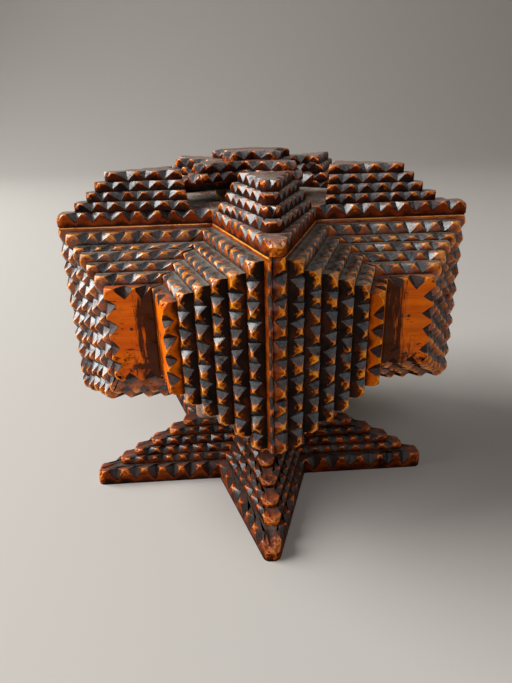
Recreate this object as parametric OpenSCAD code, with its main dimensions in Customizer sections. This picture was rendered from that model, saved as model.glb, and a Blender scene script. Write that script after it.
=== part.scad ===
// A lidded box in the shape of a five-pointed star, on a star-shaped foot. Every wall face, every arm of the
// lid and the foot carry stepped stacks of boards whose outer corners are cut into rows of points by V notches.
// The front tip points along -Y, and the foot stands on Z = 0.

/* [Box] */
// Distance from the middle to the flat on a cut-off tip
tip_r = 99.8; // [95:0.1:110]
// Width of the flat on a cut-off tip
tip_flat = 5.7; // [5:0.1:7]
// Height of the underside of the walls above the table
box_z = 60; // [56:1:70]
// Height of the wall panels
wall_h = 82; // [78:1:90]
// Thickness of the wall panels
wall_t = 5; // [4:0.5:6]
// Thickness of the floor board
floor_t = 5; // [4:0.5:8]

/* [Boards on the walls] */
// Thickness of one board
board_t = 5.7; // [5.5:0.1:6]
// Set-back of each board's end from the one under it, on the side of the tip
tip_step = 4.05; // [3.8:0.05:4.3]
// Drop of each board's top edge below the one under it, from the wall outwards
top_steps = [2, 4.7, 2.1, 3.1, 3.2, 4]; // [1.5:0.1:5]
// Rise of each board's bottom edge above the one under it, from the wall outwards
bottom_steps = [1, 5.2, 4.2, 3.5, 4.4, 4.4]; // [1:0.1:5.5]
// The same on the left arm's front face, where the inner boards were set lower
low_steps = [1, 2.5, 1, 1, 5.5, 9.5]; // [0.5:0.5:10]
// Diameter of the brads in the outermost panels
brad_d = 1.4; // [1:0.1:2]
// Length of a brad
brad_l = 5; // [4:0.5:5]
// Heights of the two brads, as shares of a panel's height
brad_at = [0.14, 0.58]; // [0.1:0.01:0.9]

/* [Notches] */
// Spacing of the notches along an edge
notch_pitch = 8; // [7:0.1:9]
// Depth of a notch on the broad face of a board
notch_face = 4.2; // [3:0.1:4.5]
// Depth of a notch on the narrow edge of a board
notch_edge = 4.4; // [3:0.1:4.8]
// Width of the blunt point left between two notches
notch_land = 0.7; // [0.4:0.1:1]
// Length of the solid block left at a board's corner
corner_block = 3.6; // [3:0.1:5]

/* [Lid] */
// Thickness of the lid's star board
lid_t = 6; // [6:0.5:8]
// Thickness of one board of the stacks on its arms
lid_board_t = 4.15; // [4:0.05:5]
// Thickness of the board under the lid that keeps it in place
locator_t = 5; // [4:0.5:8]
// Side clearance between that board and the walls
locator_gap = 0.8; // [0.5:0.1:1.5]
// Lengths of the four boards on an arm, from the bottom up
arm_lengths = [48.8, 42.9, 38.5, 33.5]; // [30:0.1:50]
// Half widths of their inner ends
arm_half_w = [20.8, 18, 15.3, 12.2]; // [10:0.1:21]
// Set-back of the lowest board's tip from the lid's tip
arm_inset = 11; // [9:0.5:14]
// Shift of each arm's stack along its arm, as the maker set it: front, right, back right, back left, left
arm_slip = [0, -3.5, 0, 0, 2.5]; // [-3.5:0.5:3]
// Width of the tips of an arm's boards
arm_tip = 4.9; // [4:0.1:5.5]
// Depth of the notches on top of an arm's boards
arm_notch = 2.8; // [2:0.1:3]

/* [Grip] */
// Sideways shift of the grip's bar against the middle of the lid
riser_shift = -6.5; // [-7:0.5:0]
// How much closer to the middle the bar's half length ends than the lid's stacks start
riser_back = 8; // [7:0.5:10]
// Width of that bar
riser_w = 24; // [20:1:28]
// Thickness of that bar, and of the block under it
riser_t = 5.65; // [5:0.05:7]
// Length of the bar's notched end
riser_notched = 20; // [14:1:24]
// Radius of the block under the bar
spacer_r = 17; // [12:1:20]
// Thickness of each of the grip's star boards
grip_t = 3.9; // [3.5:0.1:5]
// How much shorter than the start of the lid's stacks each of the three star boards is, from the bottom up
grip_back = [0, 4, 20]; // [-1:0.5:21]
// Sideways shifts of the three star boards, as the maker set them
star_shift = [-8, -8, -4]; // [-9:0.5:0]
// Width of the flats on their tips
grip_flat = 8; // [6:0.5:10]
// Depth of the notches on top of the star boards
grip_notch = 3; // [2:0.1:3.5]

/* [Foot] */
// Thickness of the foot's lowest board
foot_base_t = 9; // [8:0.1:11]
// Thickness of the boards above it
foot_t = 3.85; // [3.5:0.05:4.5]
// Distances from the middle to the tips of the foot's boards, from the bottom up
foot_r = [95.5, 84, 76, 66, 55, 47]; // [45:0.5:98]
// Width of the flat on the tips of the lowest board
foot_base_flat = 6; // [5:0.1:10]
// Width of the flats on the tips of the boards above it
foot_flat = 6; // [5:0.5:8]
// Depth of the notches on the edge of the lowest board
foot_base_notch = 5.6; // [4:0.1:7]
// Sideways shift of the foot against the box
foot_shift = -3.3; // [-4:0.1:0]
// Shift of the lowest board against those above it, sideways and forwards
base_shift = [-1.2, -1.5]; // [-2:0.1:0]
// Turn of the foot against the box
foot_turn = 0.85; // [-2:0.05:2]
// Distance from the middle to the tips of the neck's plain blocks
neck_r = 40; // [36:0.5:42]
// Width of the flats on the tips of the neck's blocks
neck_flat = 8; // [6:0.5:10]
// Distances from the middle to the tips of the boards that step out under the box
flare_r = [47, 56, 66]; // [45:0.5:70]

/* [Hidden] */
ARMS = ["front", "right", "back_right", "back_left", "left"];
SIDES = ["a", "b"];
FOOT = ["foot_base", "foot_board_2", "foot_board_3", "foot_board_4", "foot_board_5", "foot_board_6"];
NECK = ["neck_lower", "neck_middle", "neck_upper"];
FLARE = ["flare_lower", "flare_middle", "flare_upper"];
GRIP = ["grip_lower_star", "grip_middle_star", "grip_top_star"];

// Turn from one arm to the next, half of it, half of a tip's angle, and the mitre angle in a valley
arm_turn = 72;
half_turn = arm_turn / 2;
half_tip = 18;
mitre = 54;
// Share of a sharp tip's radius at which two arms of the star meet
valley_share = sin(half_tip) / sin(180 - half_tip - half_turn);
// Gap left for glue where two boards meet in a mitre
glue = 0.12;
// Gap between the lid and the walls, and between the floor board and the walls
seat = 0.3;
// Room kept between a notch and the next board's edge
notch_room = 0.2;
// Least depth of a notch
least_notch = 1;
// Least wood left beside a notch on the narrow side of a board
rim = 0.45;
// How far the tips of the boards that fit between the walls are cut back
inner_cut = 4;
// How much wider a brad's bore is than the brad
brad_fit = 0.1;
// Distance of the first notch from a valley or a mitre
notch_start = 0.5;
// How far a cutter runs past the wood
over = 1.5;

board_n = len(top_steps);
// The star's radius at its sharp tips, before they are cut off
star_r = sharp_r(tip_r, tip_flat);
valley_r = star_r * valley_share;
// Length of a wall face from its valley to the sharp tip, and what the flat takes off it
face_l = star_r * sin(half_turn) / sin(180 - half_tip - half_turn);
tip_cut = tip_flat / 2 / sin(half_tip);
wall_top = box_z + wall_h;
// Distance of the inner ends of the lid's stacks from the middle
arm_start = tip_r - arm_inset - arm_lengths[0];
riser_l = 2 * (arm_start - riser_back);
// Distances from the middle to the tips of the grip's star boards
grip_r = [for (back = grip_back) arm_start - back];
lid_z = wall_top + seat;
lid_top = lid_z + lid_t;
riser_z = lid_top + riser_t;
grip_z = riser_z + riser_t;
foot_top = foot_base_t + foot_t * (len(foot_r) - 1);
flare_z = box_z - foot_t * len(flare_r);
neck_t = (flare_z - foot_top) / len(NECK);

// Radius at the sharp tip of a star whose tips are cut to a flat at radius r
function sharp_r(r, flat) = r + flat / 2 / tan(half_tip);

// Radius at the flat of the star that lies in by a distance all round
function inset_r(r, flat, by) = sharp_r(r, flat) - by / sin(half_tip) - flat / 2 / tan(half_tip);

// Radius and tip flat of the star board that fits between the walls with a gap to them all round
function inner_r(gap) = inset_r(tip_r, tip_flat, wall_t + gap) - inner_cut;
inner_flat = tip_flat + 2 * inner_cut * tan(half_tip);

// Sum of the first n values of a list
function total(v, n) = n == 0 ? 0 : v[n - 1] + total(v, n - 1);

// Corners of a star, counter-clockwise: for each arm its valley, then the two ends of the flat on its tip
function star_points(r, flat) = [
    for (k = [0:4], j = [0:2])
        let (a = -90 + arm_turn * k, side = j == 1 ? -1 : 1)
            j == 0
                ? sharp_r(r, flat) * valley_share * [cos(a - half_turn), sin(a - half_turn)]
                : r * [cos(a), sin(a)] + side * flat / 2 * [-sin(a), cos(a)]
];

// Whether corner i of a counter-clockwise outline points inwards
function is_valley(p, i) =
    let (n = len(p), u = p[i % n] - p[(i + n - 1) % n], v = p[(i + 1) % n] - p[i % n])
        u[0] * v[1] - u[1] * v[0] < 0;

// A row of V cuts along a corner that lies on the X axis. Each V runs off one side of the corner, which is
// +Y, at depth a, and off the other side, which lies at an angle from +Y round towards -Z, at depth b.
module notches(length, a, b, angle = 90) {
    n = max(1, round(length / notch_pitch));
    p = length / n;
    slope = [a - b * cos(angle), b * sin(angle)];
    depth = a * b * sin(angle) / norm(slope);
    peak = depth * notch_land / (p - notch_land);
    teeth = [for (i = [0:2 * n]) [i * p / 2, i % 2 == 0 ? peak : -depth]];
    rotate([atan2(slope[0], -slope[1]), 0, 0])
        linear_extrude(2 * (max(a, b) + over), center = true)
            polygon(concat(teeth, [[length, peak + over], [0, peak + over]]));
}

// A board of the given outline with its upper corner notched all round, a deep on top and b deep on the edge
module carved_board(points, z, t, a, b) {
    n = len(points);
    difference() {
        translate([0, 0, z]) linear_extrude(t) polygon(points);
        for (i = [0:n - 1]) {
            from = points[i];
            to = points[(i + 1) % n];
            run = norm(to - from);
            short = run < 2 * corner_block + notch_pitch / 2;
            start = short || is_valley(points, i) ? notch_start : corner_block;
            stop = short || is_valley(points, i + 1) ? notch_start : corner_block;
            translate([from[0], from[1], z + t])
                rotate([0, 0, atan2(to[1] - from[1], to[0] - from[0])])
                    translate([start, 0, 0])
                        notches(run - start - stop, a, b);
        }
    }
}

// Puts its children on one face of an arm: X runs along the wall from the valley to the tip, and -Y points out
module on_face(arm, side) {
    rotate([0, 0, arm_turn * arm])
        mirror([side, 0, 0])
            translate([-valley_r * sin(half_turn), -valley_r * cos(half_turn), 0])
                rotate([0, 0, -arm_turn])
                    children();
}

// How the bottom edges of a face's boards rise
function rises(arm, side) = ARMS[arm] == "left" && SIDES[side] == "b" ? low_steps : bottom_steps;

// Height of the top and of the bottom edge of board i on a wall, with 1 for the one that lies on the wall
function board_top(i) = wall_top - total(top_steps, i);
function board_bottom(i, rise) = box_z + total(rise, i);

// Depth of the notches on a board's broad face beside the edge of the next board, a step further in
function face_depth(step) = max(least_notch, min(notch_face, step - notch_room));

// Distance along a wall, at a depth outwards from it, at which the neighbour's boards are met
function mitre_x(out) = out / tan(mitre) + glue;

// Board i of the stack on a wall, notched at its top, its bottom and its tip end
module wall_board(i, rise) {
    inner = (i - 1) * board_t + glue;
    outer = i * board_t;
    end = face_l - tip_cut - tip_step * i;
    top = board_top(i);
    bottom = board_bottom(i, rise);
    last = i == board_n;
    top_face = last ? notch_face : face_depth(top_steps[i]);
    bottom_face = last ? notch_face : face_depth(rise[i]);
    end_face = last ? notch_face : face_depth(tip_step);
    start = mitre_x(outer) + notch_start;
    run = end - corner_block - start;
    difference() {
        translate([0, 0, bottom])
            linear_extrude(top - bottom)
                polygon([[mitre_x(outer), -outer], [end, -outer], [end, -inner], [mitre_x(inner), -inner]]);
        translate([start, -outer, top]) notches(run, notch_edge, top_face);
        translate([start, -outer, bottom]) mirror([0, 0, 1]) notches(run, notch_edge, bottom_face);
        translate([end, -outer, bottom + corner_block])
            mirror([1, 0, 0])
                rotate([0, -90, 0])
                    notches(top - bottom - 2 * corner_block, notch_edge, end_face);
    }
}

// The five darker boards of a wall's stack
module stack(rise) {
    color("saddlebrown")
        for (i = [1:board_n - 1])
            wall_board(i, rise);
}

// Places its children at each brad of a panel, with Z pointing out of it
module at_brads(rise) {
    x = (mitre_x(board_n * board_t) + face_l - tip_cut - tip_step * board_n) / 2;
    low = board_bottom(board_n, rise);
    for (share = brad_at)
        translate([x, -board_n * board_t, low + share * (board_top(board_n) - low)])
            rotate([90, 0, 0])
                children();
}

// The bare outermost board of a wall's stack, bored for its brads
module panel(rise) {
    color("darkorange")
        difference() {
            wall_board(board_n, rise);
            at_brads(rise)
                translate([0, 0, -board_t - over])
                    cylinder(d = brad_d + brad_fit, h = board_t + 2 * over, $fn = 24);
        }
}

// All the brads, flush with the panels
module brads() {
    color("dimgray")
        for (arm = [0:4], side = [0, 1])
            on_face(arm, side)
                at_brads(rises(arm, side))
                    translate([0, 0, -brad_l])
                        cylinder(d = brad_d, h = brad_l, $fn = 24);
}

// One wall panel, mitred in the valley and at the tip, with its corner notched along the flat of the tip
module wall() {
    flat_half = tip_flat / 2;
    tip = [face_l - tip_cut, 0];
    mid_tip = tip + (flat_half - glue) * [sin(half_tip), cos(half_tip)];
    inner_tip = [face_l - wall_t / tan(half_tip) - glue, wall_t];
    inner_valley = [mitre_x(-wall_t), wall_t];
    color("sienna")
        difference() {
            translate([0, 0, box_z])
                linear_extrude(wall_h)
                    polygon([[glue, 0], tip, mid_tip, inner_tip, inner_valley]);
            translate([tip[0], 0, box_z + corner_block / 2])
                rotate([0, 0, -half_tip])
                    mirror([1, 0, 0])
                        rotate([0, -90, 0])
                            notches(wall_h - corner_block, flat_half - rim, tip_step - notch_room, 90 + half_tip);
        }
}

// A plain star block
module star_block(z, t, r, flat) {
    translate([0, 0, z]) linear_extrude(t) polygon(star_points(r, flat));
}

// Board i of the foot, with 0 for the lowest
module foot_board(i) {
    r = foot_r[i];
    flat = i == 0 ? foot_base_flat : foot_flat;
    t = i == 0 ? foot_base_t : foot_t;
    next = i + 1 < len(foot_r) ? sharp_r(foot_r[i + 1], foot_flat) : sharp_r(neck_r, neck_flat);
    ledge = (sharp_r(r, flat) - next) * sin(half_tip);
    shift = i == 0 ? base_shift : [0, 0];
    color("brown")
        translate([foot_shift + shift[0], shift[1], 0])
            rotate([0, 0, foot_turn])
                carved_board(
                    star_points(r, flat),
                    i == 0 ? 0 : foot_base_t + foot_t * (i - 1),
                    t,
                    face_depth(ledge),
                    i == 0 ? foot_base_notch : foot_t - rim
                );
}

// Block i of the neck
module neck_block(i) {
    color("rosybrown")
        translate([foot_shift / 2, 0, 0])
            star_block(foot_top + neck_t * i, neck_t, neck_r, neck_flat);
}

// Board i of those that step out under the box, notched along its lower corner
module flare_board(i) {
    inner = i > 0 ? flare_r[i - 1] : neck_r;
    ledge = (flare_r[i] - inner) * sin(half_tip);
    color("brown")
        translate([0, 0, flare_z + foot_t * (i + 1)])
            mirror([0, 0, 1])
                carved_board(
                    star_points(flare_r[i], foot_flat),
                    0,
                    foot_t,
                    face_depth(ledge),
                    foot_t - rim
                );
}

// The floor, a star board that fits between the walls
module floor_board() {
    color("sienna")
        star_block(box_z, floor_t, inner_r(seat), inner_flat);
}

// The lid's star board, flush with the walls
module lid_board() {
    color("brown")
        carved_board(star_points(tip_r, tip_flat), lid_z, lid_t, notch_face, notch_edge);
}

// The plain board under the lid that drops between the walls
module lid_locator() {
    color("sienna")
        star_block(lid_z - locator_t, locator_t, inner_r(locator_gap), inner_flat);
}

// The four boards on one arm of the lid
module lid_stack(arm) {
    color("maroon")
        rotate([0, 0, arm_turn * arm])
            translate([0, -arm_start - arm_slip[arm], 0])
                for (i = [0:len(arm_lengths) - 1])
                    lid_arm_board(i);
}

// Board i of a stack on the lid, with its inner end on the X axis and its tip along -Y
module lid_arm_board(i) {
    half = arm_half_w[i];
    end = -arm_lengths[i];
    tip = arm_tip / 2;
    carved_board(
        [[-half, 0], [-tip, end], [tip, end], [half, 0]],
        lid_top + lid_board_t * i,
        lid_board_t - glue,
        arm_notch,
        lid_board_t - rim
    );
}

// The block between the lid and the grip's bar
module grip_spacer() {
    color("sienna")
        translate([riser_shift, 0, lid_top])
            linear_extrude(riser_t)
                polygon([for (k = [0:4]) spacer_r * [cos(arm_turn * k + 90), sin(arm_turn * k + 90)]]);
}

// The bar under the grip's stars, plain but for its notched right end
module grip_riser() {
    end = riser_shift + riser_l / 2;
    color("sienna")
        difference() {
            translate([end - riser_l, -riser_w / 2, riser_z])
                cube([riser_l, riser_w, riser_t]);
            translate([end - notch_start - riser_notched, -riser_w / 2, grip_z])
                notches(riser_notched, notch_face, notch_edge);
        }
}

// Star i of the grip, turned so that its arms point over the lid's valleys
module grip_star(i) {
    color("chocolate")
        translate([star_shift[i], 0, 0])
            rotate([0, 0, half_turn])
                carved_board(
                    star_points(grip_r[i], grip_flat),
                    grip_z + grip_t * i,
                    grip_t,
                    grip_notch,
                    grip_t - rim
                );
}

for (i = [0:len(FOOT) - 1])
    foot_board(i);
for (i = [0:len(NECK) - 1])
    neck_block(i);
for (i = [0:len(FLARE) - 1])
    flare_board(i);
floor_board();
for (arm = [0:4], side = [0, 1]) {
    suffix = str(ARMS[arm], "_", SIDES[side]);
    on_face(arm, side) wall();
    rise = rises(arm, side);
    on_face(arm, side) stack(rise);
    on_face(arm, side) panel(rise);
}
brads();
lid_board();
lid_locator();
for (arm = [0:4])
    lid_stack(arm);
grip_spacer();
grip_riser();
for (i = [0:len(GRIP) - 1])
    grip_star(i);
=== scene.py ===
"""A notched star box on a star foot, with a lift-off lid: shapes, finishes, light and camera."""
import math
import zlib
from functools import partial

import bpy
import numpy as np
from mathutils import Matrix, Vector


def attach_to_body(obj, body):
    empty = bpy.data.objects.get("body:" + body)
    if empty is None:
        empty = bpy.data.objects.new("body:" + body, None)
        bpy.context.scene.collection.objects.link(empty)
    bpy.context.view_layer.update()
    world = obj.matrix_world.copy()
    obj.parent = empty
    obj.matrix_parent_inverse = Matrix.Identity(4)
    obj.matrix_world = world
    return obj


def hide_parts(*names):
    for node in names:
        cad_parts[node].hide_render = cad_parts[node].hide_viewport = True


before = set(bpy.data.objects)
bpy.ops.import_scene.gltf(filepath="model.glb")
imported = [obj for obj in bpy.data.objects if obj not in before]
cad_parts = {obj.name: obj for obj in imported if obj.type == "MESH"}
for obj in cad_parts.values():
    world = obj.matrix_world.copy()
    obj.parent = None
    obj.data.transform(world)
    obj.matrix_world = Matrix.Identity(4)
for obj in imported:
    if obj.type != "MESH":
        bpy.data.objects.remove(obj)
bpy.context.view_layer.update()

MM = 0.001

# Sizes, in millimetres, as the CAD source has them ------------------------

# The star: distance from the middle to a tip's flat, and that flat's width. The box's underside, the walls'
# height and thickness, and the floor's thickness.
TIP_R, TIP_FLAT = 99.8, 5.7
BOX_Z, WALL_H, WALL_T, FLOOR_T = 60.0, 82.0, 5.0, 5.0

# The boards on a wall, from the wall outwards: thickness, set-back at the tip, drops of the top edges and
# rises of the bottom edges. The left arm's front face has the low steps.
BOARD_T, TIP_STEP = 5.7, 4.05
TOP_STEPS = [2, 4.7, 2.1, 3.1, 3.2, 4]
BOTTOM_STEPS = [1, 5.2, 4.2, 3.5, 4.4, 4.4]
LOW_STEPS = [1, 2.5, 1, 1, 5.5, 9.5]

# Heights of a panel's brads, as shares of its height, and the rings of a brad from its domed head's middle
# down its shank: radii, heights above the panel, and points in a ring.
BRAD_AT = [0.14, 0.58]
BRAD_R = np.array([0.0, 0.45, 0.75, 0.8, 0.8])
BRAD_RISE = np.array([0.16, 0.12, 0.03, -0.1, -1.0])
BRAD_SIDES = 16

# The notches: spacing, depths on the face and on the edge, blunt point between two, block at a corner.
PITCH, NOTCH_FACE, NOTCH_EDGE, LAND, BLOCK = 8.0, 4.2, 4.4, 0.7, 3.6

# The lid: its board, the boards on its arms, the board under it that keeps it in place, its clearance.
LID_T, LID_BOARD_T, LOCATOR_T, LOCATOR_GAP = 6.0, 4.15, 5.0, 0.8

# The four boards on an arm of the lid, from the bottom up, how far each arm's stack is slipped outwards, and
# where it starts, the width of its tip, and the depth of its notches on the face.
ARM_LENGTHS = [48.8, 42.9, 38.5, 33.5]
ARM_HALF_W = [20.8, 18, 15.3, 12.2]
ARM_SLIP = [0, -3.5, 0, 0, 2.5]
ARM_START, ARM_TIP, ARM_NOTCH = 40.0, 4.9, 2.8

# The grip: a block, a bar with one notched end, and three star boards, each shifted.
SPACER_R = 17.0
RISER_SHIFT, RISER_L, RISER_W, RISER_T, RISER_NOTCHED = -6.5, 64.0, 24.0, 5.65, 20.0
GRIP_T, GRIP_FLAT, GRIP_NOTCH = 3.9, 8.0, 3.0
GRIP_R = [40, 36, 20]
STAR_SHIFT = [-8, -8, -4]

# The foot, from the bottom up, its turn in degrees, and the shift of its lowest board.
FOOT_BASE_T, FOOT_T = 9.0, 3.85
FOOT_R = [95.5, 84, 76, 66, 55, 47]
FOOT_BASE_FLAT, FOOT_FLAT = 6.0, 6.0
FOOT_SHIFT, FOOT_TURN, BASE_SHIFT = -3.3, 0.85, (-1.2, -1.5)

# The neck, and the three boards that step out from it under the box.
NECK_R, NECK_FLAT = 40.0, 8.0
FLARE_R = [47, 56, 66]

# Clearances: glue line, the lid's seat, room between a notch and the next board, plain start of an edge,
# least rim under a notch, and how much the tips of the boards inside the walls are cut back.
GLUE, SEAT, ROOM, FIRST, RIM, INNER_CUT = 0.12, 0.3, 0.2, 0.5, 0.45, 4.0

# What follows from them ------------------------

ARMS = ["front", "right", "back_right", "back_left", "left"]
ARM_TURN, HALF_TURN, HALF_TIP, MITRE = (math.radians(a) for a in (72, 36, 18, 54))
VALLEY_SHARE = math.sin(HALF_TIP) / math.sin(math.pi - HALF_TIP - HALF_TURN)
STAR_R = TIP_R + TIP_FLAT / 2 / math.tan(HALF_TIP)
VALLEY_R = STAR_R * VALLEY_SHARE
FACE_L = STAR_R * math.sin(HALF_TURN) / math.sin(math.pi - HALF_TIP - HALF_TURN)
TIP_CUT = TIP_FLAT / 2 / math.sin(HALF_TIP)
WALL_TOP = BOX_Z + WALL_H
LID_Z = WALL_TOP + SEAT
LID_TOP = LID_Z + LID_T
RISER_Z = LID_TOP + RISER_T
GRIP_Z = RISER_Z + RISER_T
FOOT_TOP = FOOT_BASE_T + FOOT_T * (len(FOOT_R) - 1)
FLARE_Z = BOX_Z - FOOT_T * len(FLARE_R)
NECK_T = (FLARE_Z - FOOT_TOP) / 3
PANEL_NUMBER = len(TOP_STEPS)
OUTWARD, UPWARD, DOWNWARD = (0, -1, 0), (0, 0, 1), (0, 0, -1)

# How the hand work shows, in millimetres unless it says otherwise ------------------------

# Spread of a notch's ends, middle and slant. Ranges of blunt points and depths, as shares of the even ones.
END_SPREAD, MIDDLE_SPREAD, SLANT_SPREAD = 0.5, 0.42, 0.7
LAND_RANGE, DEPTH_RANGE = (0.4, 1.9), (0.76, 1.03)

# Spread of the corners of star boards and lid arm boards, and of a wall board's edges.
STAR_SPREAD, ARM_SPREAD, BOARD_SPREAD = 0.22, 0.25, 0.16

# Least depth of a notch on a face. Pitch of the notches on the foot's lowest board, and depth down its edge.
LEAST_FACE, BASE_PITCH, BASE_DEEP = 1.0, 11.0, 7.0

# A worn arris: radius, range of its shares, distance over which it changes, share drawn in at a corner.
EASE, EASE_RANGE, EASE_RUN, CORNER_EASE = 0.36, (0.6, 1.5), 4, 0.3

# The facet at a board's end: depth at the corner, length, and the largest share of its edge it may take.
CORNER, FACET, FACET_SHARE = 0.42, 2.9, 0.46

# The walls' tips: the share of the front one that its first wall covers, the cover up to which a wall is
# only nicked, a nick's depth on the face, and how far the tip's line sinks at a notch.
FRONT_LAP, NICKED, NICK_FACE, TIP_SUNK = 0.24, 2, 0.7, 1.7

# Corners rounded as seen from above: radii on star boards and lid arm boards, the range of their shares, the
# largest share of an edge, and the least turn in radians.
TIP_ROUND, ARM_ROUND, ROUND_RANGE, ROUND_SHARE, LEAST_TURN = 4.6, 2.5, (0.7, 1.25), 0.48, 0.1

# A worn tip's face falls over this length, by this share of the board's thickness, with this much wear.
TIP_FALL, TIP_DROP, TIP_WEAR = 4.5, 0.5, 0.56

# How rubbed edges are, where notched ones are 1: plain ones, the grip's bar, the upper edges of the walls'
# boards, the walls' tips, and tips that are only nicked.
PLAIN_RUB, BAR_RUB, TOP_RUB, WALL_RUB, NICK_RUB = 0.4, 0.8, 1.2, 1.1, 0.5

# How wear is marked: the least on a crest, its power down a notch, the depth at which it ends on the arris,
# its share at a board's end, and its share on the lines beside the arris.
CREST_LEAST, CREST_FALL, FACET_DEPTH, END_FACET, GLOW = 0.14, 1.3, 0.5, 0.62, 0.62

# How surfaces are divided: points down a notch's slope, spacing on a plain edge, shares of the arc over an
# arris, lines beside it on the face and on the side, and the room they leave at the back.
STEPS, PLAIN_STEP = 5, 2.5
ARC = np.array([0.0, 0.25, 0.5, 0.75, 1.0])
INNER_LINE, SIDE_LINE, BACK_ROOM = 0.32, 0.35, 0.07

# How far a face runs on under the next board, and how far each corner of a lid arm's next one is moved in.
UNDER = 0.9
ARM_UNDER = [[UNDER + 1, -4.5], [0, 3 * UNDER], [0, 3 * UNDER], [-UNDER - 1, -4.5]]

# The turn in degrees above which faces aren't smoothed together, and how far off a board's grain may start.
SHARP_ANGLE, GRAIN_AWAY = 28, 500


def unit(v):
    """Vectors along the last axis, each divided by its length."""
    return v / np.maximum(np.linalg.norm(v, axis=-1, keepdims=True), 1e-9)


def sharp(r, flat):
    """Radius of a star's sharp tips, cut off at radius r: r plus half the flat over tan 18 degrees."""
    return r + flat / 2 / math.tan(HALF_TIP)


def inner_star(gap):
    """Radius and tip flat of the star between the walls, its sides moved in by the wall and a gap."""
    by = WALL_T + gap
    r = sharp(TIP_R, TIP_FLAT) - by / math.sin(HALF_TIP) - TIP_FLAT / 2 / math.tan(HALF_TIP) - INNER_CUT
    return r, TIP_FLAT + 2 * INNER_CUT * math.tan(HALF_TIP)


def star(r, flat):
    """Outline of a star: for each arm its valley, at the sharp radius times the valley share, then the two
    ends of its tip's flat."""
    a = -math.pi / 2 + ARM_TURN * np.arange(5)
    valley = sharp(r, flat) * VALLEY_SHARE * np.stack([np.cos(a - HALF_TURN), np.sin(a - HALF_TURN)], 1)
    out = np.stack([np.cos(a), np.sin(a)], 1)
    side = np.stack([-np.sin(a), np.cos(a)], 1)
    rows = [valley, r * out - flat / 2 * side, r * out + flat / 2 * side]
    return np.stack(rows, 1).reshape(15, 2)


def lift(outline, z):
    """A flat outline as 3-D points at one height."""
    return np.column_stack([outline, np.full(len(outline), float(z))])


def cut(on_face, on_side, start, stop, pitch=PITCH, rubbed=1.0):
    """An edge's notches: depths on face and side, plain lengths at both ends, pitch, and how rubbed."""
    return on_face, on_side, start, stop, pitch, rubbed


def stations(length, notches, rng):
    """Places along an edge, and at each its notch's depth, how deep its corner is cut off, and its slant.

    The edge is shared out in notches of about its pitch. Each one's depth rises in a straight line from the
    end of one blunt point to the notch's middle and falls again to the next. Ends, middles, depths and
    slants are random. A corner with a block is cut off by a facet, CORNER deep at the corner and nothing
    FACET further on.
    """
    if notches is None:
        s = np.linspace(0, length, max(2, int(length / PLAIN_STEP)) + 1)[:-1]
        return s, 0 * s, 0 * s, 0 * s
    start, stop, pitch = notches[2:5]
    run = length - start - stop
    n = round(run / pitch) if run > pitch else int(run > PITCH / 2)
    s, w, slant = np.array([]), np.array([]), np.array([])
    if n:
        ends = start + run * np.arange(n + 1) / n
        ends[1:-1] += rng.normal(0, END_SPREAD, n - 1)
        middle = (ends[:-1] + ends[1:]) / 2 + rng.normal(0, MIDDLE_SPREAD, n)
        land = LAND * rng.uniform(*LAND_RANGE, n + 1) / 2
        low, high = ends[:-1] + land[:-1], ends[1:] - land[1:]
        depth = rng.uniform(*DEPTH_RANGE, n)
        down, up = np.linspace(0, 1, STEPS, endpoint=False), np.linspace(0, 1, STEPS + 1)
        s = np.concatenate([low[:, None] + (middle - low)[:, None] * down,
                            middle[:, None] + (high - middle)[:, None] * up], 1).ravel()
        w = np.concatenate([depth[:, None] * down, depth[:, None] * (1 - up)], 1).ravel()
        slant = np.repeat(rng.normal(0, SLANT_SPREAD, n), 2 * STEPS + 1)
    first, last = (s[0], s[-1]) if n else (length / 2, length / 2)
    facet = min(FACET, FACET_SHARE * length)
    if start > FIRST:
        before = facet * np.array([0, 0.5, 1])
        cut_before = CORNER * (1 - before / facet)
    else:
        before = np.linspace(0, first, 1 + int(first > 1), endpoint=False)
        cut_before = 0 * before
    if stop > FIRST:
        after = length - facet * np.array([1, 0.5])
        cut_after = CORNER * (1 - (length - after) / facet)
    else:
        after = np.linspace(last, length, 2 + int(length - last > 1))[1:-1]
        cut_after = 0 * after
    w = np.concatenate([0 * before, w, 0 * after])
    cut_off = np.concatenate([cut_before, 0 * s, cut_after])
    slant = np.concatenate([0 * before, slant, 0 * after])
    return np.concatenate([before, s, after]), w, cut_off, slant


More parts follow.
